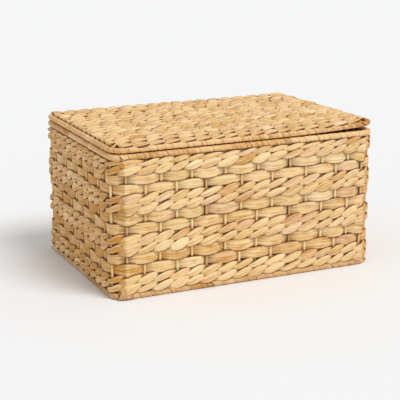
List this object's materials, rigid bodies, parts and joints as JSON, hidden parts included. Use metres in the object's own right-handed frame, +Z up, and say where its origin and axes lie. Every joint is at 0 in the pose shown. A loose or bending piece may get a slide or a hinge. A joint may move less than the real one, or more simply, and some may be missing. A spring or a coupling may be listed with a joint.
{
  "type": "woven lidded box",
  "caption": "Rectangular woven storage box on a round wire frame, with rounded corners, wound rims and a flat woven lid hinged along its back edge.",
  "frame": {"origin": "on the floor, under the middle of the box", "axes": "+X to the right along the long side, the front faces -Y and the hinge is at +Y, +Z up"},
  "size_m": [0.388, 0.2695, 0.2044],
  "materials": {
    "hyacinth_strand": "dried water hyacinth stems, flattened and woven, straw coloured, matt",
    "hyacinth_rim": "flattened hyacinth strip wound tightly round the rim, golden brown, matt",
    "hyacinth_stake": "thin twisted hyacinth cord, pale straw, matt",
    "frame_wire": "round steel wire, dull dark brown paint"
  },
  "bodies": {
    "root": {"base_brace_left": "frame_wire", "base_brace_right": "frame_wire", "base_weave_lower": "hyacinth_strand", "base_weave_upper": "hyacinth_strand", "frame_bottom_ring": "frame_wire", "frame_post_01": "frame_wire", "frame_post_02": "frame_wire", "frame_post_03": "frame_wire", "frame_post_04": "frame_wire", "frame_post_05": "frame_wire", "frame_post_06": "frame_wire", "frame_post_07": "frame_wire", "frame_post_08": "frame_wire", "frame_top_ring": "frame_wire", "hinge_loop_left": "hyacinth_rim", "hinge_loop_right": "hyacinth_rim", "plain_course_03": "hyacinth_strand", "plain_course_04": "hyacinth_strand", "plain_course_07": "hyacinth_strand", "plain_course_08": "hyacinth_strand", "plain_course_11": "hyacinth_strand", "plain_course_12": "hyacinth_strand", "rim_bottom": "hyacinth_rim", "rim_top": "hyacinth_rim", "stakes_back_left": "hyacinth_stake", "stakes_back_middle": "hyacinth_stake", "stakes_back_right": "hyacinth_stake", "stakes_front_left": "hyacinth_stake", "stakes_front_middle": "hyacinth_stake", "stakes_front_right": "hyacinth_stake", "stakes_left": "hyacinth_stake", "stakes_right": "hyacinth_stake", "twined_course_01_inner": "hyacinth_strand", "twined_course_01_outer": "hyacinth_strand", "twined_course_02_inner": "hyacinth_strand", "twined_course_02_outer": "hyacinth_strand", "twined_course_05_inner": "hyacinth_strand", "twined_course_05_outer": "hyacinth_strand", "twined_course_06_inner": "hyacinth_strand", "twined_course_06_outer": "hyacinth_strand", "twined_course_09_inner": "hyacinth_strand", "twined_course_09_outer": "hyacinth_strand", "twined_course_10_inner": "hyacinth_strand", "twined_course_10_outer": "hyacinth_strand", "twined_course_13_inner": "hyacinth_strand", "twined_course_13_outer": "hyacinth_strand", "twined_course_14_inner": "hyacinth_strand", "twined_course_14_outer": "hyacinth_strand"},
    "lid": {"lid_brace_left": "frame_wire", "lid_brace_right": "frame_wire", "lid_frame_ring": "frame_wire", "lid_ribs_left": "hyacinth_stake", "lid_ribs_middle": "hyacinth_stake", "lid_ribs_right": "hyacinth_stake", "lid_rim": "hyacinth_rim", "lid_weave_lower": "hyacinth_strand", "lid_weave_upper": "hyacinth_strand"}
  },
  "joints": [
    {"name": "lid_hinge", "type": "hinge", "parent": "root", "child": "lid", "pos_m": [0, 0.12925, 0.19565], "axis": [-1, 0, 0], "range_deg": [0, 180]}
  ]
}
